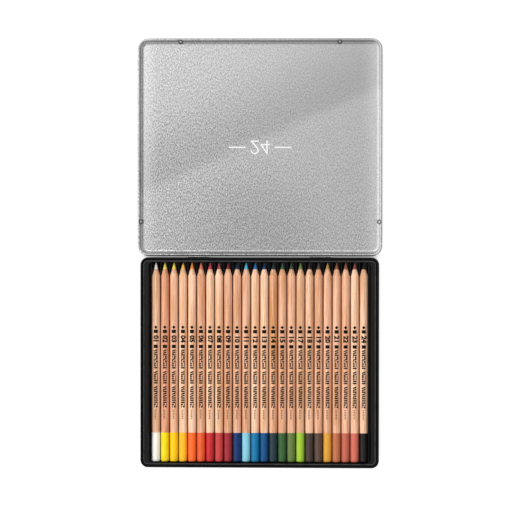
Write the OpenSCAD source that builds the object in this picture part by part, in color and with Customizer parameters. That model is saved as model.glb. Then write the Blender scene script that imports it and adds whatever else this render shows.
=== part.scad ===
// Hinged tinplate pencil box with a grooved plastic insert and two dozen round
// colored pencils, standing open: the lid lies flat on the table behind the base.
// Millimetres. +Z is up, +Y points to the hinge, and the origin is the centre of
// the underside of the base.

/* [Pencils] */
// Diameter of a pencil's wooden barrel
pencil_d = 7.2; // [6.8:0.1:8.4]
// Length of a sharpened pencil from its dipped end to its point
pencil_len = 175; // [150:1:185]
// Diameter of the colored lead
lead_d = 3.7; // [2.6:0.1:4.2]
// Full angle of the sharpened cone, in degrees
point_angle = 31; // [26:1:36]
// Diameter of the blunt end of the lead's point
point_d = 0.6; // [0.4:0.1:1.2]
// Length of barrel that is dipped in lacquer
dip_len = 25.6; // [12:0.2:40]
// Thickness of the lacquer on the barrel
dip_t = 0.1; // [0.08:0.01:0.2]
// Rounding of the dipped end
dip_end_r = 1.2; // [0.8:0.1:1.6]
// Free space between two neighbouring barrels
pencil_gap = 0.75; // [0.5:0.05:1.2]

/* [Insert] */
// Wall thickness of the thermoformed insert
insert_t = 0.5; // [0.4:0.05:0.7]
// Depth of the grooves that the pencils lie in
groove_depth = 2.3; // [1.8:0.1:2.6]
// Free space between a dipped pencil end and its groove
groove_clear = 0.2; // [0.15:0.05:0.4]
// Free space beside the first and the last pencil
side_clear = 0.7; // [0.4:0.1:1.5]
// Free space beyond each end of the pencils
end_clear = 0.9; // [0.5:0.1:2]
// How far the pocket's long walls lean outwards
slope_run = 2.1; // [1:0.1:3]
// Width of the flat shelf along each side
shelf_w = 3.05; // [2:0.05:4]
// Height of the raised bead above the shelf
shelf_drop = 0.8; // [0.6:0.1:2]
// Half the width of the bead round the insert's edge
bead_r = 0.8; // [0.7:0.05:1]
// Rounding of the pocket's corners, seen from above
pocket_corner_r = 4; // [3:0.5:5]

/* [Tin] */
// Thickness of the tinplate
sheet_t = 0.28; // [0.24:0.01:0.34]
// Height of the base's rolled rim above the table
rim_h = 12; // [11.5:0.1:14]
// Radius of the base's rim, which is rolled inwards
base_curl_r = 1; // [0.9:0.05:1.2]
// Outer corner radius of the base, seen from above
base_corner_r = 6.5; // [6:0.5:10]
// Outer radius of the edge between the base's floor and walls
base_edge_r = 1.6; // [1:0.1:2]
// Free space between the insert and the rolled rim
insert_clear = 0.3; // [0.2:0.05:0.6]
// Free space between the insert and the tin's floor
insert_seat = 0.15; // [0.1:0.05:0.3]
// How far the insert's bead stays below the rim
insert_below_rim = 0.4; // [0.2:0.1:0.8]

/* [Lid] */
// Free space between the base's walls and the lid's skirt, at the front and sides
lid_gap = 0.5; // [0.4:0.05:0.8]
// Free space between the base's rear wall and the lid's skirt
hinge_gap = 1.3; // [0.6:0.1:1.6]
// Free height between the base's rim and the lid's panel
rim_headroom = 0.65; // [0.6:0.05:1.2]
// Outer radius of the edge between the lid's panel and skirt
lid_edge_r = 3; // [2.4:0.1:3.2]
// Radius of the lid's edge, which is rolled outwards and turns in the hinge
lid_curl_r = 1.15; // [1.1:0.05:1.4]
// How far the count that is pressed into the lid's panel stands out
mark_rise = 0.4; // [0.3:0.05:0.6]
// Length of the pressed count with its two side bars
mark_len = 56; // [48:1:80]
// Height of the pressed digits
mark_h = 11; // [8:0.5:13]
// Width of the pressed lines
mark_line = 1.9; // [1.6:0.1:2.4]

/* [Hinge and catches] */
// Distance of each hinge tongue from the middle of the tin
hinge_x = 54; // [40:0.5:75]
// Width of a hinge tongue
tongue_w = 19.5; // [12:0.5:24]
// Free space at each side of a tongue in its slot
slot_side_clear = 0.5; // [0.4:0.1:1]
// Free space between the tongue and the rolled edge inside it
hinge_clear = 0.15; // [0.12:0.01:0.25]
// Height of a slot above the middle of the rolled edge
slot_h = 2.3; // [2.1:0.1:2.8]
// How far round the rolled edge the tongue wraps, in degrees
tongue_wrap = 190; // [150:5:200]
// Distance of each front catch from the middle of the tin
catch_x = 70; // [50:1:85]
// Distance of each side catch from the lid's rear edge
catch_from_rear = 30; // [25:1:50]
// Radius of a catch's dimple where it meets the sheet
catch_r = 1.25; // [1:0.05:1.4]
// How far a catch's dimple stands in from the lid's skirt
catch_h = 0.7; // [0.6:0.05:0.75]
// Depth of the matching dimple in the base
dent_h = 0.5; // [0.4:0.05:0.6]
// How much wider the base's dimple is than the lid's
dent_margin = 0.3; // [0.2:0.05:0.5]

/* [Hidden] */
$fn = 64;

// Lead and lacquer colors, from the left
palette = [
    [0.93, 0.92, 0.88],   // white
    [0.96, 0.88, 0.10],   // lemon
    [0.98, 0.80, 0.06],   // yellow
    [0.98, 0.72, 0.10],   // golden
    [0.98, 0.42, 0.10],   // orange
    [0.93, 0.36, 0.14],   // vermilion
    [0.79, 0.16, 0.18],   // scarlet
    [0.78, 0.29, 0.29],   // rose red
    [0.68, 0.19, 0.24],   // carmine
    [0.13, 0.22, 0.43],   // navy
    [0.51, 0.80, 0.87],   // sky blue
    [0.05, 0.51, 0.71],   // turquoise
    [0.07, 0.33, 0.60],   // blue
    [0.16, 0.25, 0.28],   // slate
    [0.21, 0.42, 0.21],   // green
    [0.44, 0.55, 0.31],   // olive
    [0.63, 0.80, 0.20],   // lime
    [0.29, 0.23, 0.23],   // dark brown
    [0.39, 0.32, 0.25],   // umber
    [0.89, 0.65, 0.22],   // ochre
    [0.76, 0.46, 0.31],   // terracotta
    [0.79, 0.43, 0.31],   // rust
    [0.85, 0.43, 0.36],   // coral
    [0.15, 0.15, 0.16]    // black
];
pencil_count = len(palette);

// Pencils
pencil_r = pencil_d / 2;
lead_r = lead_d / 2;
dip_r = pencil_r + dip_t;
pitch = pencil_d + pencil_gap;
block_w = (pencil_count - 1) * pitch + pencil_d;
point_slope = tan(point_angle / 2);
shoulder_y = pencil_len - (pencil_r - point_d / 2) / point_slope;
lead_y = pencil_len - (lead_r - point_d / 2) / point_slope;
butt_y = 0.3;                         // wood and lead start this far inside the dipped end
butt_chamfer = dip_end_r - butt_y;    // keeps the wood's corner inside the rounded lacquer
film = 0.05;                          // glue line between two solids that don't merge

// Insert
groove_r = dip_r + groove_clear;
pocket_low_w = block_w + 2 * side_clear;
pocket_top_w = pocket_low_w + 2 * slope_run;
pocket_d = pencil_len + 2 * end_clear;
insert_w = pocket_top_w + 2 * (shelf_w + 2 * bead_r);
insert_d = pocket_d + 4 * bead_r;
insert_z = sheet_t + insert_seat;
groove_floor_z = insert_z + insert_t;
pencil_z = groove_floor_z + groove_r;
ridge_z = groove_floor_z + groove_depth;
insert_top_z = rim_h - insert_below_rim;
shelf_z = insert_top_z - shelf_drop;
flute_h = ridge_z - insert_z - 1.2 * insert_t;
flute_w = 2 * flute_h;

// Tin
insert_inset = insert_clear + 2 * base_curl_r;
base_w = insert_w + 2 * insert_inset;
base_d = insert_d + 2 * insert_inset;
insert_corner_r = base_corner_r - insert_inset;
closed_h = rim_h + rim_headroom + sheet_t;

// Lid and hinge. The hinge is at half the height, so the open lid lies flat.
lid_w = base_w + 2 * (lid_gap + sheet_t);
lid_d = base_d + lid_gap + hinge_gap + 2 * sheet_t;
lid_y = (hinge_gap - lid_gap) / 2;
lid_corner_r = base_corner_r + lid_gap + sheet_t;
curl_out = lid_curl_r - sheet_t;
hinge_y = lid_y + lid_d / 2 + curl_out;
hinge_z = (closed_h + mark_rise) / 2;
tongue_in_r = lid_curl_r + hinge_clear;
tongue_out_r = tongue_in_r + sheet_t;
window_top_z = rim_h - 2 * base_curl_r;
arc_steps = 14;                       // flats round the bowl of the pressed 2
end_swell = 1.03;                     // width of a pressed line's round end, as a share of the line's
base_slit_angle = [290, 352];         // angles between which a rolled edge stays open
lid_slit_angle = [112, 172];
tongue_root_angle = 270;              // the tongue meets the roll from below
bowl_angle = [170, -40];              // ends of the bowl of the pressed 2
catch_z = hinge_z + lid_curl_r + 0.75 * catch_r;
catch_y = hinge_y + lid_curl_r - catch_from_rear;

function two_digits(i) = str(i < 10 ? "0" : "", i);
function pencil_name(i) = str("pencil_", two_digits(i + 1));
function wood_name(i) = str(pencil_name(i), "_wood");
function color_name(i) = str(pencil_name(i), "_lead_and_dip");
function pencil_x(i) = (i - (pencil_count - 1) / 2) * pitch;

// ---- Shapes used more than once ----

// Rectangle with round corners
module rounded_rect(w, d, r) {
    square([w - 2 * r, d], center = true);
    square([w, d - 2 * r], center = true);
    for (x = [-1, 1], y = [-1, 1])
        translate([x * (w / 2 - r), y * (d / 2 - r)]) circle(r);
}

// Carries a wall profile round a rounded rectangle.
// In the profile, x runs outwards from the rectangle's edge and y is the height.
module around(w, d, r) {
    for (k = [0 : 3]) {
        across = k % 2 == 0 ? w : d;
        along = (k % 2 == 0 ? d : w) - 2 * r;
        rotate(90 * k) {
            translate([across / 2, along / 2, 0])
                rotate([90, 0, 0]) linear_extrude(along) children();
            translate([across / 2 - r, along / 2, 0])
                rotate_extrude(angle = 90) translate([r, 0]) children();
        }
    }
}

// Wedge from the middle of a circle, between two angles less than 180 degrees apart
module wedge(r, from, to) {
    reach = 2 * r / cos((to - from) / 2);
    polygon([
        [0, 0],
        [reach * cos(from), reach * sin(from)],
        [reach * cos((from + to) / 2), reach * sin((from + to) / 2)],
        [reach * cos(to), reach * sin(to)]
    ]);
}

// Rolled sheet: a tube with a gap between its free edge and the wall it came from
module curl(r, slit) {
    difference() {
        circle(r);
        circle(r - sheet_t);
        wedge(r, slit[0], slit[1]);
    }
}

// Quarter of a bent sheet edge, in the quadrant right of and below its middle
module bend(r) {
    intersection() {
        difference() {
            circle(r);
            circle(r - sheet_t);
        }
        translate([0, -r]) square(r);
    }
}

// Ball whose cap of radius r stands h proud of the plane through the origin, towards +Z
module cap_ball(r, h, grow = 0) {
    ball_r = (r * r + h * h) / (2 * h);
    translate([0, 0, h - ball_r]) sphere(ball_r + grow);
}

// Puts a feature that points to +Z at each catch, pointing inwards,
// on a wall that stands this far out from the base's walls
module at_catches(out) {
    for (x = [-1, 1]) {
        translate([x * catch_x, -base_d / 2 - out, catch_z])
            rotate([-90, 0, 0]) children();
        translate([x * (base_w / 2 + out), catch_y, catch_z])
            rotate([0, -90 * x, 0]) children();
    }
}

// ---- Tin base ----

module base_profile() {
    translate([-base_edge_r, base_edge_r]) bend(base_edge_r);
    translate([-sheet_t, base_edge_r])
        square([sheet_t, rim_h - base_curl_r - base_edge_r]);
    translate([-base_curl_r, rim_h - base_curl_r]) curl(base_curl_r, base_slit_angle);
}

// Sheet that leaves the rear wall, runs under the lid's rolled edge and wraps round it
module tongue_profile() {
    root = hinge_gap + lid_curl_r + sheet_t;
    tip = tongue_wrap - 90;
    middle = (tip + tongue_root_angle) / 2;
    translate([-root, -tongue_out_r]) square([root, sheet_t]);
    difference() {
        circle(tongue_out_r);
        circle(tongue_in_r);
        wedge(tongue_out_r, tip, middle);
        wedge(tongue_out_r, middle, tongue_root_angle);
    }
}

module at_hinges() {
    for (x = [-hinge_x, hinge_x])
        translate([x, hinge_y, hinge_z]) children();
}

// Extrudes a profile whose x is outwards and y is up, w wide along the hinge
module across_hinge(w) {
    rotate([90, 0, 90]) translate([0, 0, -w / 2]) linear_extrude(w) children();
}

module tin_base() {
    floor_w = base_w - 2 * base_edge_r;
    floor_d = base_d - 2 * base_edge_r;
    window_w = tongue_w + 2 * slot_side_clear;
    window_z = hinge_z - tongue_in_r;
    color([0.06, 0.06, 0.07]) {
        difference() {
            union() {
                around(base_w, base_d, base_corner_r) base_profile();
                linear_extrude(sheet_t)
                    rounded_rect(floor_w, floor_d, base_corner_r - base_edge_r);
                intersection() {
                    at_catches(0)
                        cap_ball(catch_r + dent_margin, dent_h, sheet_t);
                    translate([0, 0, catch_z - rim_h / 2])
                        linear_extrude(rim_h)
                            rounded_rect(base_w - sheet_t, base_d - sheet_t, base_corner_r);
                }
            }
            at_catches(0) cap_ball(catch_r + dent_margin, dent_h);
            for (x = [-hinge_x, hinge_x])
                translate([x - window_w / 2, base_d / 2 - 2 * sheet_t, window_z])
                    cube([window_w, 4 * sheet_t, window_top_z - window_z]);
        }
        at_hinges() across_hinge(tongue_w) tongue_profile();
    }
}

// ---- Lid, drawn closed and then swung open ----

module lid_profile() {
    translate([-lid_edge_r, closed_h - lid_edge_r]) mirror([0, 1]) bend(lid_edge_r);
    translate([-sheet_t, hinge_z])
        square([sheet_t, closed_h - lid_edge_r - hinge_z]);
    translate([curl_out, hinge_z]) curl(lid_curl_r, lid_slit_angle);
}

// Line with round ends, which are a hair wider than the line so that they cross its sides
module stroke(from, to, w) {
    run = to - from;
    translate(from) rotate(atan2(run[1], run[0]))
        translate([0, -w / 2]) square([norm(run), w]);
    for (end = [from, to]) translate(end) circle(w / 2 * end_swell);
}

// Points along an arc round the origin
function arc(r, from, to) = [
    for (i = [0 : arc_steps])
        let (a = from + (to - from) * i / arc_steps)
        r * [cos(a), sin(a)]
];

module digit_2(w) {
    r = mark_h * 0.27;
    middle = [r, mark_h - r];
    from = bowl_angle[0];
    to = bowl_angle[1];
    tip = middle + r * [cos(from), sin(from)];
    neck = middle + r * [cos(to), sin(to)];
    translate(middle)
        polygon(concat(arc(r + w / 2, from, to), arc(r - w / 2, to, from)));
    translate(tip) circle(w / 2 * end_swell);
    stroke(neck, [0, 0], w);
    stroke([0, 0], [2 * r, 0], w);
}

module digit_4(w) {
    stem = mark_h * 0.46;
    bar = mark_h * 0.28;
    stroke([stem, 0], [stem, mark_h], w);
    stroke([stem, mark_h], [0, bar], w);
    stroke([0, bar], [mark_h * 0.62, bar], w);
}

// The number of pencils between two plain bars, drawn with lines of width w
module count_mark(w) {
    digits_w = mark_h * 1.42;
    bar_end = mark_len / 2 - mark_line / 2;
    bar_start = digits_w / 2 + mark_h * 0.5;
    translate([-digits_w / 2, -mark_h / 2]) {
        digit_2(w);
        translate([mark_h * 0.8, 0]) digit_4(w);
    }
    stroke([bar_start, 0], [bar_end, 0], w);
    stroke([-bar_end, 0], [-bar_start, 0], w);
}

module swing_open() {
    translate([0, hinge_y, hinge_z]) rotate([180, 0, 0])
        translate([0, -hinge_y, -hinge_z]) children();
}

module tin_lid() {
    panel_w = lid_w - 2 * lid_edge_r;
    panel_d = lid_d - 2 * lid_edge_r;
    slot_w = tongue_w + 2 * slot_side_clear;
    color([0.74, 0.75, 0.76]) swing_open() difference() {
        union() {
            translate([0, lid_y, 0]) {
                around(lid_w, lid_d, lid_corner_r) lid_profile();
                translate([0, 0, closed_h - sheet_t]) linear_extrude(sheet_t)
                    rounded_rect(panel_w, panel_d, lid_corner_r - lid_edge_r);
                translate([0, 0, closed_h]) linear_extrude(mark_rise)
                    count_mark(mark_line);
            }
            intersection() {
                at_catches(lid_gap) cap_ball(catch_r, catch_h);
                translate([0, lid_y, hinge_z]) linear_extrude(closed_h - hinge_z)
                    rounded_rect(lid_w - sheet_t, lid_d - sheet_t, lid_corner_r);
            }
        }
        at_catches(lid_gap) cap_ball(catch_r, catch_h, -sheet_t);
        translate([0, lid_y, closed_h - sheet_t]) linear_extrude(mark_rise)
            count_mark(mark_line - 2 * sheet_t);
        at_hinges() difference() {
            translate([-slot_w / 2, -lid_curl_r - sheet_t, 0])
                cube([slot_w, 3 * sheet_t, slot_h]);
            rotate([0, 90, 0]) cylinder(r = lid_curl_r, h = 2 * slot_w, center = true);
        }
    }
}

// ---- Insert ----

// The pocket's volume, with its walls and floor moved outwards by grow
module pocket(grow) {
    low = pocket_low_w / 2 + grow;
    top = pocket_top_w / 2 + grow;
    deep = pocket_d / 2 + grow;
    intersection() {
        rotate([90, 0, 0]) translate([0, 0, -deep]) linear_extrude(2 * deep)
            polygon([[-low, insert_z], [low, insert_z], [top, shelf_z], [top, rim_h],
                     [-top, rim_h], [-top, shelf_z]]);
        translate([0, 0, insert_z]) linear_extrude(rim_h)
            rounded_rect(2 * top, 2 * deep, pocket_corner_r + grow);
    }
}

// Skirt, bead and the short leg inside the bead
module insert_edge_profile() {
    bead_z = insert_top_z - bead_r;
    translate([-insert_t, insert_z]) square([insert_t, bead_z - insert_z]);
    translate([-2 * bead_r, shelf_z - insert_t])
        square([insert_t, bead_z - shelf_z + insert_t]);
    translate([-bead_r, bead_z]) intersection() {
        difference() {
            circle(bead_r);
            circle(bead_r - insert_t);
        }
        translate([-bead_r, 0]) square([2 * bead_r, bead_r]);
    }
}

// Floor with a groove for each pencil above and a hollow under each ridge
module grooved_floor() {
    rotate([90, 0, 0]) translate([0, 0, -pocket_d / 2 - insert_t])
        linear_extrude(pocket_d + 2 * insert_t) difference() {
            translate([-pocket_top_w / 2 - insert_t, insert_z])
                square([pocket_top_w + 2 * insert_t, ridge_z - insert_z]);
            for (i = [0 : pencil_count - 1])
                translate([pencil_x(i), pencil_z]) circle(groove_r);
            for (i = [0 : pencil_count - 2])
                translate([pencil_x(i) + pitch / 2, insert_z])
                    polygon([[-flute_w / 2, -insert_t], [flute_w / 2, -insert_t],
                             [flute_w / 2, 0], [0, flute_h], [-flute_w / 2, 0]]);
        }
}

module pencil_insert() {
    shelf_out = 2 * bead_r - insert_t;
    color([0.09, 0.09, 0.1]) {
        around(insert_w, insert_d, insert_corner_r) insert_edge_profile();
        difference() {
            union() {
                translate([0, 0, shelf_z - insert_t]) linear_extrude(insert_t)
                    rounded_rect(insert_w - 2 * shelf_out, insert_d - 2 * shelf_out,
                                 insert_corner_r - shelf_out);
                intersection() {
                    pocket(insert_t);
                    translate([-insert_w / 2, -insert_d / 2, insert_z])
                        cube([insert_w, insert_d, shelf_z - insert_z]);
                }
            }
            pocket(0);
        }
        intersection() {
            pocket(insert_t);
            grooved_floor();
        }
    }
}

// ---- Pencils, drawn along +Z and then laid in their grooves ----

module in_groove(i) {
    translate([pencil_x(i), -pencil_len / 2, pencil_z]) rotate([-90, 0, 0]) children();
}

module pencil_wood(i) {
    color([0.85, 0.66, 0.48]) in_groove(i) rotate_extrude() polygon([
        [lead_r, butt_y],
        [pencil_r - butt_chamfer, butt_y],
        [pencil_r, dip_end_r],
        [pencil_r, shoulder_y],
        [lead_r, lead_y]
    ]);
}

module lead() {
    rotate_extrude() polygon([
        [0, butt_y + film],
        [lead_r, butt_y + film],
        [lead_r, lead_y],
        [point_d / 2, pencil_len],
        [0, pencil_len]
    ]);
}

// Lacquer over the barrel's end, with a rounded butt
module dip() {
    rotate_extrude() difference() {
        union() {
            square([dip_r - dip_end_r, dip_end_r]);
            translate([0, dip_end_r]) square([dip_r, dip_len - dip_end_r]);
            intersection() {
                translate([dip_r - dip_end_r, dip_end_r]) circle(dip_end_r);
                translate([dip_r - dip_end_r, 0]) square(dip_end_r);
            }
        }
        polygon([
            [0, butt_y],
            [pencil_r - butt_chamfer, butt_y],
            [pencil_r, dip_end_r],
            [pencil_r, dip_len],
            [0, dip_len]
        ]);
    }
}

module pencil_color(i) {
    color(palette[i]) in_groove(i) {
        lead();
        dip();
    }
}

tin_base();
tin_lid();
pencil_insert();
for (i = [0 : pencil_count - 1]) {
    pencil_wood(i);
    pencil_color(i);
}
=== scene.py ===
# Colored pencil tin, lying open: lid folded back flat behind the base,
# twenty-four sharpened pencils in a black insert.
import math
import random

import bpy
import bmesh
from mathutils import Matrix, Vector


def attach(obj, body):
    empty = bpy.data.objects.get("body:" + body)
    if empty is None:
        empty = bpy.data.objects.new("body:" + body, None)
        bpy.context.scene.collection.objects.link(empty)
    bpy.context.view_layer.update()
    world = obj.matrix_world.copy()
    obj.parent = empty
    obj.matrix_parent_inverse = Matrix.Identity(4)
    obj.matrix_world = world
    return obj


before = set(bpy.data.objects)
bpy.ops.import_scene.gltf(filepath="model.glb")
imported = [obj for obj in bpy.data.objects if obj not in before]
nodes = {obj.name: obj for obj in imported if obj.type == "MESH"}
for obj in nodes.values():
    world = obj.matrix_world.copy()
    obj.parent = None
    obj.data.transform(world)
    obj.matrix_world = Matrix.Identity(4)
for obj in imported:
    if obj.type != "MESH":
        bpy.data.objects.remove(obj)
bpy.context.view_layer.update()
mm = 0.001

# the tin's own places, in metres, the same as in the part's source
tin = {
    "pencilCount": 24,
    "pitch": 7.95 * mm,
    "axisHeight": 4.83 * mm,
    "barrelRadius": 3.6 * mm,
    "lidMidY": 189.1 * mm,
    "lidHalfWidth": 107.575 * mm,
    "lidHalfLength": 95.5 * mm,
    "lidRollZ": 5.45 * mm,              # just under the lid's rolled edge
}


def pencilX(index):
    return (index - (tin["pencilCount"] - 1) / 2) * tin["pitch"]


class Value:
    # a socket that can be used in a plain expression; each operator adds its Math node
    def __init__(self, paint, socket):
        self.paint = paint
        self.socket = socket

    def op(self, operation, *others):
        sockets = dict(enumerate((self,) + others))
        return self.paint.add("ShaderNodeMath", {"operation": operation}, sockets)

    def __add__(self, other):
        return self.op("ADD", other)

    def __sub__(self, other):
        return self.op("SUBTRACT", other)

    def __rsub__(self, other):
        return -self + other

    def __mul__(self, other):
        return self.op("MULTIPLY", other)

    def __neg__(self):
        return self * -1

    def __abs__(self):
        return self.op("ABSOLUTE")

    def __lt__(self, other):
        return self.op("LESS_THAN", other)

    def __gt__(self, other):
        return self.op("GREATER_THAN", other)

    def atLeast(self, other):
        return self.op("MAXIMUM", other)


class Paint:
    # the node tree of one material or world; add() makes any node
    def __init__(self, name, world=False):
        self.holder = (bpy.data.worlds if world else bpy.data.materials).new(name)
        self.holder.use_nodes = True
        self.tree = self.holder.node_tree
        self.tree.nodes.clear()
        self.place = None

    def find(self, sockets, key):
        if isinstance(key, int):
            return sockets[key]
        for socket in sockets:
            if socket.identifier == key:
                return socket
        return next(s for s in sockets if s.name == key)

    def add(self, kind, settings=None, sockets=None, out=0):
        node = self.tree.nodes.new(kind)
        for key, value in (settings or {}).items():
            setattr(node, key, value)
        for key, value in (sockets or {}).items():
            target = self.find(node.inputs, key)
            if isinstance(value, Value):
                self.tree.links.new(value.socket, target)
            else:
                target.default_value = value
        if not node.outputs:
            return node
        return Value(self, self.find(node.outputs, out))

    def outs(self, kind, names, sockets=None):
        # several outputs of one node
        node = self.add(kind, None, sockets).socket.node
        return [Value(self, node.outputs[name]) for name in names]

    def where(self):
        # the point on the piece, in metres
        if self.place is None:
            self.place = self.add("ShaderNodeTexCoord", out="Object")
        return self.place

    def parts(self, vector):
        # the three parts of a point or a direction
        return self.outs("ShaderNodeSeparateXYZ", "XYZ", {0: vector})

    def axis(self, name):
        # one part of the point on the piece
        return self.parts(self.where())["XYZ".index(name)]

    def distance(self, first, second):
        return self.add("ShaderNodeVectorMath", {"operation": "DISTANCE"},
                        {0: first, 1: second}, out="Value")

    def stretched(self, scale, location=(0, 0, 0), rotation=(0, 0, 0)):
        return self.add("ShaderNodeMapping", None,
                        {"Vector": self.where(), "Scale": scale,
                         "Location": location, "Rotation": rotation})

    def noise(self, vector, scale, detail, roughness=0.5, distortion=0.0):
        # in the dictionaries, a noise is its scale, detail, roughness and distortion in this order
        return self.add("ShaderNodeTexNoise", None,
                        {"Vector": vector, "Scale": scale, "Detail": detail,
                         "Roughness": roughness, "Distortion": distortion}, out="Fac")

    def ramp(self, value, low, high, start=0.0, end=1.0, smooth=True):
        # start..end as value goes from low to high, held outside that
        return self.add("ShaderNodeMapRange",
                        {"interpolation_type": "SMOOTHSTEP" if smooth else "LINEAR"},
                        {"Value": value, "From Min": low, "From Max": high,
                         "To Min": start, "To Max": end})

    def mix(self, factor, first, second):
        return self.add("ShaderNodeMix", {"data_type": "RGBA"},
                        {"Factor_Float": factor, "A_Color": self.rgba(first),
                         "B_Color": self.rgba(second)}, out="Result_Color")

    def rgba(self, colour):
        return colour if isinstance(colour, Value) else (*colour, 1)

    def bump(self, height, distance, strength=1.0):
        return self.add("ShaderNodeBump", None,
                        {"Height": height, "Distance": distance, "Strength": strength})

    def finish(self, sockets):
        shader = self.add("ShaderNodeBsdfPrincipled", None, sockets)
        self.add("ShaderNodeOutputMaterial", None, {"Surface": shader})
        return self.holder


def dress(name, material):
    slots = nodes[name].data.materials
    if len(slots) == 0:
        slots.append(material)
    for i in range(len(slots)):
        slots[i] = material


tinplate = {
    "bright": (0.77, 0.77, 0.77),
    "dull": (0.30, 0.30, 0.302),
    "roughness": (0.26, 0.34),
    "roughRange": (0.3, 0.7),
    # rolled sheet: a fine peel that lies along two crossed diagonals
    "grainSize": 0.72 * mm,
    "grainAlong": 0.45,                 # scale along a diagonal, times that across it
    "grainTurn": 0.75,
    "grainShift": (9, 4, 0),            # of the second diagonal
    "peelNoise": (1.0, 1.0),
    "fineScale": 1.9,                   # times the peel's
    "fineNoise": (1.0, 0.6),            # detail and roughness
    "grainShares": (0.36, 0.36, 0.28),  # first diagonal, second diagonal, fine
    "grainRange": (0.435, 0.565),
    "grainDepth": 0.07 * mm,
    # the grain shows least at the first place and most at the second
    "grainFade": ((90 * mm, 270 * mm), (-95 * mm, 105 * mm)),
    "grainShows": (0.27, 1.18),
    # painted reflection edge that crosses the sheet: painted shade behind the line, then fading away
    "sweepShadeLine": ((-99.8 * mm, 150.6 * mm), (96.8 * mm, 238.4 * mm)),
    "sweepShadeEdge": (-6 * mm, 7 * mm),
    "sweepShadeFade": (10 * mm, 75 * mm),
    "sweepShadeStep": 0.18,
    "sweepShadeWander": 6 * mm,
    "wanderNoise": (30.0, 2.0),
    # painted shade: a soft darker patch on the panel, round this point
    "paintedShadeCentre": (-8 * mm, 108 * mm, 0.68 * mm),
    "paintedShadeReach": (17 * mm, 85 * mm),
    "paintedShadeStep": 0.16,
    "wallReflectionBand": (83 * mm, 103 * mm),   # painted reflection of the walls on the sheet beside them
    "wallReflectionPaint": 0.27,
    # the mark pressed into the panel is painted near white, a painted highlight; it lies away from the
    # walls
    "pressed": (0.97, 0.97, 0.97),
    "pressedBelow": 0.62 * mm,
    "pressedHalf": (34 * mm, 10 * mm),
    # the four catches: a painted highlight spot on each dimple inside a ring of painted shade; x is the
    # same on both sides
    "catches": ((104.5 * mm, 123.6 * mm, 4.58 * mm), (70 * mm, 281.4 * mm, 4.58 * mm)),
    "catchHighlightReach": (1.4 * mm, 1.96 * mm),
    "catchShadeReach": (2.4 * mm, 3.0 * mm),
    "catchHeight": 0.5,                 # how much less the height counts
    "catchShadeColour": (0.05, 0.05, 0.05),
    "catchShadeCover": 0.85,
}


# painted shade behind a wandering diagonal line across the lid, for the edge of a reflection
def paintedSweepShade(paint, x, y):
    (x0, y0), (x1, y1) = tinplate["sweepShadeLine"]
    length = math.hypot(x1 - x0, y1 - y0)
    behind = (x - x0) * ((y0 - y1) / length) + (y - y0) * ((x1 - x0) / length)
    wander = paint.noise(paint.where(), *tinplate["wanderNoise"]) - 0.5
    edge = behind + wander * tinplate["sweepShadeWander"]
    return paint.ramp(edge, *tinplate["sweepShadeEdge"]) * paint.ramp(edge, *tinplate["sweepShadeFade"], 1, 0)


def grainContrast(paint, x, y):
    (x0, y0), (x1, y1) = tinplate["grainFade"]
    length = math.hypot(x1 - x0, y1 - y0)
    along = (x - x0) * ((x1 - x0) / length) + (y - y0) * ((y1 - y0) / length)
    return paint.ramp(along, 0.0, length, *tinplate["grainShows"], False)


# painted highlight on each catch's dimple, in a ring of painted shade
def catchHighlightAndShade(paint, x, y, z, colour):
    flatter = tinplate["catchHeight"]
    folded = paint.add("ShaderNodeCombineXYZ", None, {"X": abs(x), "Y": y, "Z": z * flatter})
    for cx, cy, cz in tinplate["catches"]:
        away = paint.distance(folded, (cx, cy, cz * flatter))
        shadeRing = paint.ramp(away, *tinplate["catchShadeReach"], tinplate["catchShadeCover"], 0)
        colour = paint.mix(shadeRing, colour, tinplate["catchShadeColour"])
        highlightSpot = paint.ramp(away, *tinplate["catchHighlightReach"], 1, 0)
        colour = paint.mix(highlightSpot, colour, tinplate["pressed"])
    return colour


def bareTin(paint):
    x, y, z = paint.parts(paint.where())
    size, turn = tinplate["grainSize"], tinplate["grainTurn"]
    scale = (1 / size, tinplate["grainAlong"] / size, 1 / size)
    one = paint.noise(paint.stretched(scale, (0, 0, 0), (0, 0, turn)), *tinplate["peelNoise"])
    two = paint.noise(paint.stretched(scale, tinplate["grainShift"], (0, 0, -turn)),
                      *tinplate["peelNoise"])
    fine = paint.noise(paint.where(), tinplate["fineScale"] / size, *tinplate["fineNoise"])
    shareOne, shareTwo, shareFine = tinplate["grainShares"]
    grain = one * shareOne + two * shareTwo + fine * shareFine
    tone = (paint.ramp(grain, *tinplate["grainRange"]) - 0.5) * grainContrast(paint, x, y) + 0.5
    colour = paint.mix(tone, tinplate["dull"], tinplate["bright"])
    # painted shade: the lid is darkened behind the diagonal line
    colour = paint.mix(paintedSweepShade(paint, x, y) * tinplate["sweepShadeStep"], colour, (0, 0, 0))
    # painted shade: darker round one point of the panel
    away = paint.distance(paint.where(), tinplate["paintedShadeCentre"])
    shadePatch = paint.ramp(away, *tinplate["paintedShadeReach"], 1, 0)
    colour = paint.mix(shadePatch * tinplate["paintedShadeStep"], colour, (0, 0, 0))
    # painted reflection: the sheet is lightened towards the side walls
    side = paint.ramp(abs(x), *tinplate["wallReflectionBand"])
    colour = paint.mix(side * side * tinplate["wallReflectionPaint"], colour, (1, 1, 1))
    halfX, halfY = tinplate["pressedHalf"]
    # painted highlight: the pressed mark is painted near white
    pressed = (z < tinplate["pressedBelow"]) * (abs(x) < halfX) * (abs(y - tin["lidMidY"]) < halfY)
    colour = catchHighlightAndShade(paint, x, y, z, paint.mix(pressed, colour, tinplate["pressed"]))
    rough = paint.ramp(fine, *tinplate["roughRange"], *tinplate["roughness"])
    return colour, rough, grain


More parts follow.
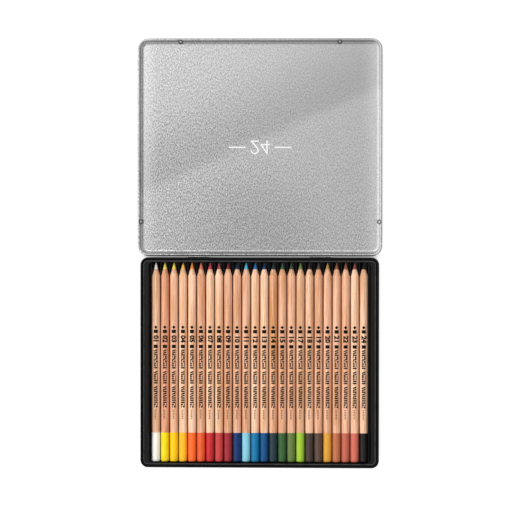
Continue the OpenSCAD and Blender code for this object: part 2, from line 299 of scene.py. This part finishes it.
# thin black lacquer with a soft pull and a few rubbed spots
lacquer = {
    "black": (0.0012, 0.0012, 0.0014),
    "rubbedAndSheen": (0.006, 0.006, 0.0065),
    "rubbedRange": (0.62, 0.8),
    "roughness": (0.30, 0.36),
    "roughRange": (0.3, 0.75),
    "pullNoise": (900.0, 2.0, 0.5),
    "pullDepth": 0.15,                  # times the grain's
    "rubNoise": (60.0, 4.0, 0.65),
    "specular": 0.14,
    "tongueBare": (92.40 * mm, 92.75 * mm),     # bare behind this
    # the lid is lacquered where its surface points out or down, and on the pressed mark's sides
    "edgeBand": 10 * mm,                # the lid's sides lie in it
    "outward": 0.35,
    "downward": -0.2,
    "markSides": 0.34 * mm,             # the mark's sides are below this
    "markLean": 0.6,                    # and point up less than this
}


def lacquered(paint):
    pull = paint.noise(paint.where(), *lacquer["pullNoise"])
    rub = paint.noise(paint.where(), *lacquer["rubNoise"])
    colour = paint.mix(paint.ramp(rub, *lacquer["rubbedRange"]), lacquer["black"], lacquer["rubbedAndSheen"])
    rough = paint.ramp(rub, *lacquer["roughRange"], *lacquer["roughness"])
    return colour, rough, pull


def tinPaint(name, bareMask):
    # bareMask is 1 where the tin shows and 0 under the lacquer
    paint = Paint(name)
    mask = bareMask(paint)
    tinColour, tinRough, tinHeight = bareTin(paint)
    blackColour, blackRough, blackHeight = lacquered(paint)
    height = blackHeight * lacquer["pullDepth"] * (1 - mask) + tinHeight * mask
    return paint.finish({
        "Base Color": paint.mix(mask, blackColour, tinColour),
        "Roughness": blackRough + (tinRough - blackRough) * mask,
        "Metallic": mask,
        "Normal": paint.bump(height, tinplate["grainDepth"]),
        "Specular IOR Level": lacquer["specular"],
    })


def tongueMask(paint):
    # the hinge tongues are cut from the wall and bent out, so their rolled side is bare
    return paint.ramp(paint.axis("Y"), *lacquer["tongueBare"])


def lidMask(paint):
    # inside of the lid and its rolled edge are bare; what faces out below the roll is lacquered
    across, along, up = paint.parts(paint.add("ShaderNodeTexCoord", out="Normal"))
    x, y, z = paint.parts(paint.where())
    y = y - tin["lidMidY"]
    outX = x.op("SIGN") * across * (abs(x) > tin["lidHalfWidth"] - lacquer["edgeBand"])
    outY = y.op("SIGN") * along * (abs(y) > tin["lidHalfLength"] - lacquer["edgeBand"])
    outside = (outX + outY > lacquer["outward"]).atLeast(up < lacquer["downward"])
    markSides = (z < lacquer["markSides"]) * (up < lacquer["markLean"])
    return 1 - outside.atLeast(markSides) * (z < tin["lidRollZ"])


dress("tin_base", tinPaint("black tinplate", tongueMask))
dress("tin_lid", tinPaint("bare tinplate", lidMask))
print("tin dressed")

insert = {
    "black": (0.0018, 0.0018, 0.0020),
    "dusty": (0.0045, 0.0045, 0.0050),
    "dustNoise": (90.0, 5.0, 0.65),
    "dustRange": (0.5, 0.8),
    "rubbedAndSheen": (0.045, 0.045, 0.047),    # painted highlight along the top of the bead, broken by the dust noise
    "beadTop": (11.3 * mm, 11.6 * mm),
    "rubbedRange": (0.2, 0.6),
    "roughness": (0.30, 0.44),
    "roughRange": (0.35, 0.65),
    "skinNoise": (1400.0, 2.0, 0.6),
    "skinDepth": 0.012 * mm,
    "specular": 0.26,
}


def insertPaint():
    paint = Paint("black plastic")
    skin = paint.noise(paint.where(), *insert["skinNoise"])
    dust = paint.noise(paint.where(), *insert["dustNoise"])
    # painted highlight: the top of the bead is painted lighter
    rubbedAndSheen = paint.ramp(paint.axis("Z"), *insert["beadTop"]) * paint.ramp(dust, *insert["rubbedRange"])
    colour = paint.mix(paint.ramp(dust, *insert["dustRange"]), insert["black"], insert["dusty"])
    return paint.finish({
        "Base Color": paint.mix(rubbedAndSheen, colour, insert["rubbedAndSheen"]),
        "Roughness": paint.ramp(skin * 0.5 + dust * 0.5, *insert["roughRange"], *insert["roughness"]),
        "Normal": paint.bump(skin, insert["skinDepth"]),
        "Specular IOR Level": insert["specular"],
    })


dress("pencil_insert", insertPaint())
print("insert dressed")

wood = {
    "streakSize": 0.55 * mm,            # across the grain
    "streakLength": 26 * mm,
    "streakNoise": (0.55, 3.0, 0.55, 0.4),
    "seed": 40,
    "offsetTimes": 50,                  # keeps the streaks of two barrels apart
    "lean": 0.012,                      # most turn of the grain
    "cloudScale": (60, 12, 60),
    "cloudNoise": (1.0, 2.0, 0.5),
    "cloudShare": 0.35,
    "toneRange": (0.43, 0.57),
    "lineNoise": (2.6, 2.0, 0.6),
    "lineRange": (0.54, 0.68),
    "lineTone": 0.62,                   # times the streak tone
    "poreSize": 0.16 * mm,
    "poreLength": 14,                   # times its size
    "poreNoise": (1.0, 2.0, 0.6),
    "poreRange": (0.58, 0.76),
    "poreTone": 0.45,                   # also times the streak tone
    "cover": 0.5,                       # most that a line or a pore hides
    "roughness": (0.46, 0.62),
    "roughRange": (0.3, 0.7),
    "grainDepth": 0.03 * mm,
    "grainShares": (-0.6, -0.4),        # pores and lines, both sunk
    "grainStrength": 0.6,
    "specular": 0.22,
    "paler": (0.02, 0.04, 0.07),        # added to the light tones
    # light tone and streak tone of each cut of cedar, as sRGB
    "cuts": {
        "pale": ((244, 200, 162), (223, 171, 132)),
        "sandy": ((237, 190, 151), (210, 158, 118)),
        "rosy": ((234, 181, 144), (212, 153, 112)),
        "tan": ((231, 177, 138), (205, 146, 106)),
        "honey": ((228, 170, 128), (196, 136, 84)),
        "red": ((226, 158, 114), (190, 122, 84)),
    },
    # the cut of each barrel, from left to right
    "barrels": ["sandy", "red", "rosy", "pale", "pale", "tan", "pale", "pale",
                "tan", "tan", "tan", "pale", "pale", "honey", "rosy", "tan",
                "sandy", "sandy", "rosy", "rosy", "rosy", "rosy", "pale", "sandy"],
}


def linear(rgb):
    # sRGB 0..255 to linear
    return tuple((c / 255 / 12.92) if c / 255 <= 0.04045 else ((c / 255 + 0.055) / 1.055) ** 2.4
                 for c in rgb)


def darker(colour, share):
    return [c * share for c in colour]


def woodPaint(index):
    light, dark = [linear(c) for c in wood["cuts"][wood["barrels"][index]]]
    light = [c + pale for c, pale in zip(light, wood["paler"])]
    dice = random.Random(wood["seed"] + index)
    offset = (dice.uniform(-1, 1), dice.uniform(-1, 1), dice.uniform(-1, 1))
    lean = dice.uniform(-wood["lean"], wood["lean"])
    paint = Paint("cedar %02d" % (index + 1))
    across = 1 / wood["streakSize"]
    grain = paint.stretched((across, 1 / wood["streakLength"], across),
                            [o * wood["offsetTimes"] for o in offset], (0, 0, lean))
    streak = paint.noise(grain, *wood["streakNoise"])
    line = paint.noise(grain, *wood["lineNoise"])
    across = 1 / wood["poreSize"]
    pore = paint.noise(paint.stretched((across, across / wood["poreLength"], across), offset),
                       *wood["poreNoise"])
    cloud = paint.noise(paint.stretched(wood["cloudScale"], offset), *wood["cloudNoise"])
    tone = streak * (1 - wood["cloudShare"]) + cloud * wood["cloudShare"]
    colour = paint.mix(paint.ramp(tone, *wood["toneRange"]), light, dark)
    colour = paint.mix(paint.ramp(line, *wood["lineRange"], 0, wood["cover"]), colour,
                       darker(dark, wood["lineTone"]))
    colour = paint.mix(paint.ramp(pore, *wood["poreRange"], 0, wood["cover"]), colour,
                       darker(dark, wood["poreTone"]))
    sunkPore, sunkLine = wood["grainShares"]
    return paint.finish({
        "Base Color": colour,
        "Roughness": paint.ramp(line, *wood["roughRange"], *wood["roughness"]),
        "Normal": paint.bump(pore * sunkPore + line * sunkLine, wood["grainDepth"],
                             wood["grainStrength"]),
        "Specular IOR Level": wood["specular"],
    })


for i in range(tin["pencilCount"]):
    dress("pencil_%02d_wood" % (i + 1), woodPaint(i))
print("barrels dressed")

colours = {
    # dipped end, lead; as sRGB, from left to right
    "white": ((240, 237, 228), (254, 252, 247)),
    "lemon": ((240, 213, 14), (252, 226, 96)),
    "yellow": ((251, 198, 14), (250, 222, 92)),
    "golden": ((249, 182, 30), (252, 190, 84)),
    "orange": ((250, 106, 40), (248, 148, 52)),
    "vermilion": ((226, 90, 44), (230, 124, 90)),
    "scarlet": ((194, 40, 46), (200, 66, 78)),
    "roseRed": ((190, 62, 60), (168, 76, 76)),
    "carmine": ((152, 40, 50), (138, 48, 54)),
    "navy": ((14, 50, 104), (34, 46, 78)),
    "skyBlue": ((132, 198, 218), (70, 190, 230)),
    "turquoise": ((12, 114, 162), (34, 116, 184)),
    "blue": ((8, 76, 128), (22, 62, 108)),
    "slate": ((34, 54, 62), (46, 56, 64)),
    "green": ((56, 94, 52), (62, 96, 74)),
    "olive": ((98, 120, 62), (70, 92, 66)),
    "lime": ((154, 194, 50), (120, 142, 72)),
    "darkBrown": ((68, 56, 50), (56, 48, 42)),
    "umber": ((88, 68, 56), (92, 76, 64)),
    "ochre": ((220, 156, 54), (196, 150, 80)),
    "terracotta": ((186, 108, 72), (150, 98, 66)),
    "rust": ((188, 98, 76), (158, 92, 74)),
    "coral": ((204, 104, 88), (152, 78, 80)),
    "black": ((22, 20, 19), (36, 36, 32)),
}

pigment = {
    # lacquer of the dipped end, pulled along the barrel
    "pullScale": (260, 60, 260),
    "pullNoise": (1.0, 2.0, 0.5),
    "pullRange": (0.35, 0.7),
    "pullTone": 0.78,                   # times the color
    "pullCover": 0.35,
    "pullDepth": 0.5,                   # times the streaks'
    "dipRoughness": (0.24, 0.34),
    "coat": 0.15,
    "coatRoughness": 0.16,
    # lead, streaked by the sharpener
    "streakScale": (900, 260, 900),
    "streakNoise": (1.0, 3.0, 0.6),
    "streakRange": (0.4, 0.75),
    "streakTone": 0.72,
    "streakCover": 0.4,
    "streakDepth": 0.02 * mm,
    "leadRoughness": (0.42, 0.6),
    # both
    "roughRange": (0.3, 0.7),
    "strength": 0.5,
    "specular": 0.22,
}


def colourPaint(name, dip, lead):
    paint = Paint("%s color" % name)
    isLead = paint.axis("Y") > 0.0
    isDip = 1 - isLead
    streaks = paint.noise(paint.stretched(pigment["streakScale"]), *pigment["streakNoise"])
    pull = paint.noise(paint.stretched(pigment["pullScale"]), *pigment["pullNoise"])
    dipColour = paint.mix(paint.ramp(pull, *pigment["pullRange"], 0, pigment["pullCover"]),
                          dip, darker(dip, pigment["pullTone"]))
    leadColour = paint.mix(paint.ramp(streaks, *pigment["streakRange"], 0, pigment["streakCover"]),
                           lead, darker(lead, pigment["streakTone"]))
    dipRough = paint.ramp(pull, *pigment["roughRange"], *pigment["dipRoughness"])
    leadRough = paint.ramp(streaks, *pigment["roughRange"], *pigment["leadRoughness"])
    height = streaks * isLead + pull * pigment["pullDepth"] * isDip
    return paint.finish({
        "Base Color": paint.mix(isLead, dipColour, leadColour),
        "Roughness": dipRough * isDip + leadRough * isLead,
        "Normal": paint.bump(height, pigment["streakDepth"], pigment["strength"]),
        "Coat Weight": isDip * pigment["coat"],
        "Coat Roughness": pigment["coatRoughness"],
        "Specular IOR Level": pigment["specular"],
    })


for i, (name, (dip, lead)) in enumerate(colours.items()):
    dress("pencil_%02d_lead_and_dip" % (i + 1), colourPaint(name, linear(dip), linear(lead)))
print("leads and dipped ends dressed")

marks = {
    "lift": 0.012 * mm,                 # above the wood
    "film": 0.015 * mm,
    "strips": 12,                       # that the flat print is cut into
    "reach": 2.4 * mm,                  # half the width of all the strips
    # screen-printed ink, thinner in places so that the grain dulls it
    "ink": (0.006, 0.004, 0.003),
    "paleInk": (0.10, 0.055, 0.035),
    "wornScale": (1800, 260, 1800),
    "wornNoise": (1.0, 3.0, 0.6),
    "wornRange": (0.5, 0.8),
    "wornTone": (0.8, 0.02),            # times the ink, and added to it
    "cover": 0.4,
    "roughness": (0.4, 0.55),
    "roughRange": (0.3, 0.7),
    "inkDepth": 0.01 * mm,
    "inkStrength": 0.4,
    "specular": 0.1,
    # from the points to the dipped end
    "diamondY": 30.9 * mm,
    "diamondSize": 2.3 * mm,
    "numberY": 20.6 * mm,
    "numberSize": 6.3 * mm,
    "numberBolder": 0.34 * mm,
    "bars": [27.2 * mm, 14.0 * mm],     # thick bars either side of the number
    "barReach": 2.2,                    # their width across, times the tally's reach
    "barWidth": 3.0 * mm,
    "tallyFrom": 10.4 * mm,
    "tallyPitch": 1.9 * mm,
    "tallyCount": 27,
    "tallyGaps": (9, 16),               # between the groups
    "tallyReach": 1.75 * mm,            # half a stroke, across the barrel
    "tallySeed": 300,                   # the same row of strokes on every barrel
    "strokeLong": 1.3 * mm,             # lengths along the barrel
    "strokeHalf": 1.55 * mm,
    "strokeLeaning": 1.2 * mm,
    "lean": 0.35,
    "paleFrom": -42.0 * mm,
    "palePitch": 1.45 * mm,
    "paleCount": 6,
    "paleX": -0.35 * mm,
    "paleStroke": (1.3 * mm, 0.7 * mm),
}


def inkPaint(name, colour):
    paint = Paint(name)
    worn = paint.noise(paint.stretched(marks["wornScale"]), *marks["wornNoise"])
    times, more = marks["wornTone"]
    return paint.finish({
        "Base Color": paint.mix(paint.ramp(worn, *marks["wornRange"], 0, marks["cover"]), colour,
                                [times * c + more for c in colour]),
        "Roughness": paint.ramp(worn, *marks["roughRange"], *marks["roughness"]),
        "Normal": paint.bump(worn, marks["inkDepth"], marks["inkStrength"]),
        "Specular IOR Level": marks["specular"],
    })


def stamp(shape, midX, midY, width, length, lean=0.0, material=0):
    # one flat stroke on the plane: width across the barrel, length along it
    place = Matrix.Translation((midX, midY, 0)) @ Matrix.Rotation(lean, 4, "Z")
    made = bmesh.ops.create_grid(shape, x_segments=1, y_segments=1, size=0.5,
                                 matrix=place @ Matrix.Diagonal((width, length, 1, 1)))
    for face in {f for v in made["verts"] for f in v.link_faces}:
        face.material_index = material


def stampNumber(shape, number):
    # a two-digit number, laid flat and turned to read along the barrel
    words = bpy.data.curves.new("number", "FONT")
    words.body = "%02d" % number
    words.size = marks["numberSize"]
    words.align_x = "CENTER"
    words.align_y = "CENTER"
    words.resolution_u = 2
    words.offset = marks["numberBolder"]
    holder = bpy.data.objects.new("number", words)
    mesh = bpy.data.meshes.new_from_object(holder)
    bpy.data.objects.remove(holder)
    bpy.data.curves.remove(words)
    mesh.transform(Matrix.Translation((0, marks["numberY"], 0)) @ Matrix.Rotation(-math.pi / 2, 4, "Z"))
    shape.from_mesh(mesh)
    bpy.data.meshes.remove(mesh)


def stampHalves(shape, y, side):
    # half a stroke on this side of the barrel's top and a shorter one on the other
    reach = marks["tallyReach"]
    stamp(shape, side * reach * 0.5, y, reach, marks["strokeHalf"])
    stamp(shape, -side * reach * 0.75, y, reach * 0.5, marks["strokeHalf"])


def stampTally(shape):
    dice = random.Random(marks["tallySeed"])
    width = 2 * marks["tallyReach"]
    for k in range(marks["tallyCount"]):
        y = marks["tallyFrom"] - k * marks["tallyPitch"]
        kind = dice.randrange(4)
        if k in marks["tallyGaps"]:
            continue
        if kind == 0:
            stamp(shape, 0, y, width, marks["strokeLong"])
        elif kind == 1:
            stampHalves(shape, y, -1)
        elif kind == 2:
            stamp(shape, 0, y, width, marks["strokeLeaning"], marks["lean"])
        else:
            stampHalves(shape, y, 1)


def wrapOnBarrel(shape, x):
    # cut the flat print into narrow strips, then bend them round the barrel
    half = marks["strips"] // 2
    for step in range(1 - half, half):
        bmesh.ops.bisect_plane(shape, geom=shape.verts[:] + shape.edges[:] + shape.faces[:], dist=1e-7,
                               plane_co=(step * marks["reach"] / half, 0, 0), plane_no=(1, 0, 0))
    radius = tin["barrelRadius"] + marks["lift"]
    for vert in shape.verts:
        turn = vert.co.x / radius
        vert.co.x = x + radius * math.sin(turn)
        vert.co.z = tin["axisHeight"] + radius * math.cos(turn)


def printOnBarrel(index, inks):
    shape = bmesh.new()
    stampNumber(shape, index + 1)
    size = marks["diamondSize"]
    stamp(shape, 0, marks["diamondY"], size, size, math.pi / 4)
    for y in marks["bars"]:
        stamp(shape, 0, y, marks["barReach"] * marks["tallyReach"], marks["barWidth"])
    stampTally(shape)
    for k in range(marks["paleCount"]):
        y = marks["paleFrom"] - k * marks["palePitch"]
        stamp(shape, marks["paleX"], y, *marks["paleStroke"], 0.0, 1)
    wrapOnBarrel(shape, pencilX(index))
    bmesh.ops.recalc_face_normals(shape, faces=shape.faces[:])
    for face in shape.faces:
        if face.normal.z < 0:
            face.normal_flip()
    bmesh.ops.solidify(shape, geom=shape.faces[:], thickness=-marks["film"])
    name = "pencil_%02d" % (index + 1)
    mesh = bpy.data.meshes.new(name + "_marks")
    shape.to_mesh(mesh)
    shape.free()
    for ink in inks:
        mesh.materials.append(ink)
    piece = bpy.data.objects.new(name + "_marks", mesh)
    bpy.context.scene.collection.objects.link(piece)
    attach(piece, name)


inks = [inkPaint("dark ink", marks["ink"]), inkPaint("pale ink", marks["paleInk"])]
for i in range(tin["pencilCount"]):
    printOnBarrel(i, inks)
print("marks printed")


def raysThatShow(paint):
    # camera rays alone, and all the rays that show the background: camera, reflected and refracted
    seen, glossy, clear = paint.outs("ShaderNodeLightPath", ("Is Camera Ray", "Is Glossy Ray",
                                                             "Is Transmission Ray"))
    return seen, seen.atLeast(glossy).atLeast(clear)


floor = {
    "size": 12.0,
    "colour": (0.88, 0.88, 0.88),
    "shadowShare": 0.15,                # how much of a soft shadow the white floor keeps
    "glow": (1.18, 0.68),               # as seen, and in reflections
    # painted shade: where a narrow gap or a wall stands over the floor, its glow is dimmed by the
    # occlusion
    "contactReach": 15 * mm,
    "contactRange": (0.05, 0.62),
    "contactShade": 0.22,               # left of the glow
    "contactSamples": 8,
}


def makeFloor():
    mesh = bpy.data.meshes.new("floor")
    shape = bmesh.new()
    bmesh.ops.create_grid(shape, x_segments=1, y_segments=1, size=floor["size"] / 2)
    shape.to_mesh(mesh)
    shape.free()
    piece = bpy.data.objects.new("floor", mesh)
    bpy.context.scene.collection.objects.link(piece)
    paint = Paint("white floor")
    seen, shown = raysThatShow(paint)
    direct, mirrored = floor["glow"]
    openness = paint.add("ShaderNodeAmbientOcclusion", {"samples": floor["contactSamples"]},
                         {"Distance": floor["contactReach"]}, out="AO")
    contact = paint.ramp(openness, *floor["contactRange"], floor["contactShade"], 1.0, False)
    strength = contact * (seen * (direct - mirrored) + mirrored)
    diffuse = paint.add("ShaderNodeBsdfDiffuse", None, {"Color": (*floor["colour"], 1)})
    glow = paint.add("ShaderNodeEmission", None, {"Color": (1, 1, 1, 1), "Strength": strength})
    shader = paint.add("ShaderNodeMixShader", None,
                       {0: shown * (1 - floor["shadowShare"]), 1: diffuse, 2: glow})
    paint.add("ShaderNodeOutputMaterial", None, {"Surface": shader})
    mesh.materials.append(paint.holder)


# brightness of the studio's walls and ceiling in reflections; an edge is two heights, from
# 0 at the horizon to 1 overhead
studio = {
    "ceiling": (0.73, -0.45, 0.80),     # middle, change to the right, change to the back
    "ceilingEdge": (0.82, 0.92),
    "walls": 0.50,
    "window": 1.0,                      # more on the left wall
    "darkWall": 0.32,                   # less on the right wall
    "skirting": 0.80,                   # the least at the foot of every wall
    "skirtingEdge": (0.25, 0.50),
    "horizonEdge": (0.01, 0.05),        # white below it
    "strip": 1.1,                       # a long lamp high at the back
    "stripLower": (0.76, 0.80),
    "stripUpper": (0.88, 0.92),
    "stripFront": (0.3, 0.4),
    "fill": 0.53,                       # what lights the tin from all round
}


def makeWorld():
    # white behind the floor; above it the studio's walls and ceiling, which only reflections see
    paint = Paint("studio", world=True)
    bpy.context.scene.world = paint.holder
    seen, shown = raysThatShow(paint)
    right, back, up = paint.parts(paint.add("ShaderNodeTexCoord", out="Generated"))
    middle, toRight, toBack = studio["ceiling"]
    ceiling = right * toRight + back * toBack + middle
    window = (-right).atLeast(0) * studio["window"]
    walls = window - right.atLeast(0) * studio["darkWall"] + studio["walls"]
    walls = walls.atLeast(paint.ramp(up, *studio["skirtingEdge"], studio["skirting"], 0))
    strip = (paint.ramp(up, *studio["stripLower"]) * paint.ramp(up, *studio["stripUpper"], 1, 0)
             * paint.ramp(back, *studio["stripFront"]))
    room = walls + (ceiling - walls) * paint.ramp(up, *studio["ceilingEdge"]) + strip * studio["strip"]
    room = room + (1 - room) * paint.ramp(up, *studio["horizonEdge"], 1.0, 0.0)
    strength = (room * shown + (1 - shown) * studio["fill"]).atLeast(seen)
    glow = paint.add("ShaderNodeBackground", None, {"Color": (1, 1, 1, 1), "Strength": strength})
    paint.add("ShaderNodeOutputWorld", None, {"Surface": glow})


lamps = {
    # place, target, size, power, and whether the tin mirrors it; what is not mirrored is drawn
    # on the studio's walls
    "key": ((-1.36, 0.60, 1.45), (0, 0.05, 0), 2.3, 33.0, False),
    "top": ((-0.34, 0.56, 1.6), (0, 0.15, 0), 0.6, 1.15, True),
    "front": ((0.1, -1.2, 0.9), (0, 0, 0), 0.8, 3.6, False),
    "back": ((-0.3, 2.2, 1.15), (0, 0.1, 0), 1.0, 16.0, False),
    "side": ((-2.1, 0.2, 0.85), (0, 0, 0), 1.2, 4.0, False),
}


def softbox(name, place, target, size, power, mirrored):
    lamp = bpy.data.lights.new(name, "AREA")
    lamp.shape = "SQUARE"
    lamp.size = size
    lamp.energy = power
    holder = bpy.data.objects.new(name, lamp)
    holder.location = place
    holder.rotation_euler = (Vector(target) - Vector(place)).to_track_quat("-Z", "Y").to_euler()
    holder.visible_camera = False
    holder.visible_glossy = mirrored
    bpy.context.scene.collection.objects.link(holder)


camera = {
    "place": (0.12231, 0.14611, 2.65),
    "pitch": -0.0198,
    "yaw": 0.0475,
    "roll": 0.0007,
    "lens": 211.89,
    "sensor": 36,                       # width in mm
    "farEnd": 50,
}


def makeCamera():
    data = bpy.data.cameras.new("camera")
    data.lens = camera["lens"]
    data.sensor_width = camera["sensor"]
    data.clip_end = camera["farEnd"]
    holder = bpy.data.objects.new("camera", data)
    turn = (Matrix.Rotation(camera["roll"], 4, "Z") @ Matrix.Rotation(camera["yaw"], 4, "Y")
            @ Matrix.Rotation(camera["pitch"], 4, "X"))
    holder.matrix_world = Matrix.Translation(camera["place"]) @ turn
    bpy.context.scene.collection.objects.link(holder)
    bpy.context.scene.camera = holder


makeFloor()
makeWorld()
for name, values in lamps.items():
    softbox(name, *values)
makeCamera()
bpy.context.scene.view_settings.view_transform = "Standard"
print("floor, lights and camera set")
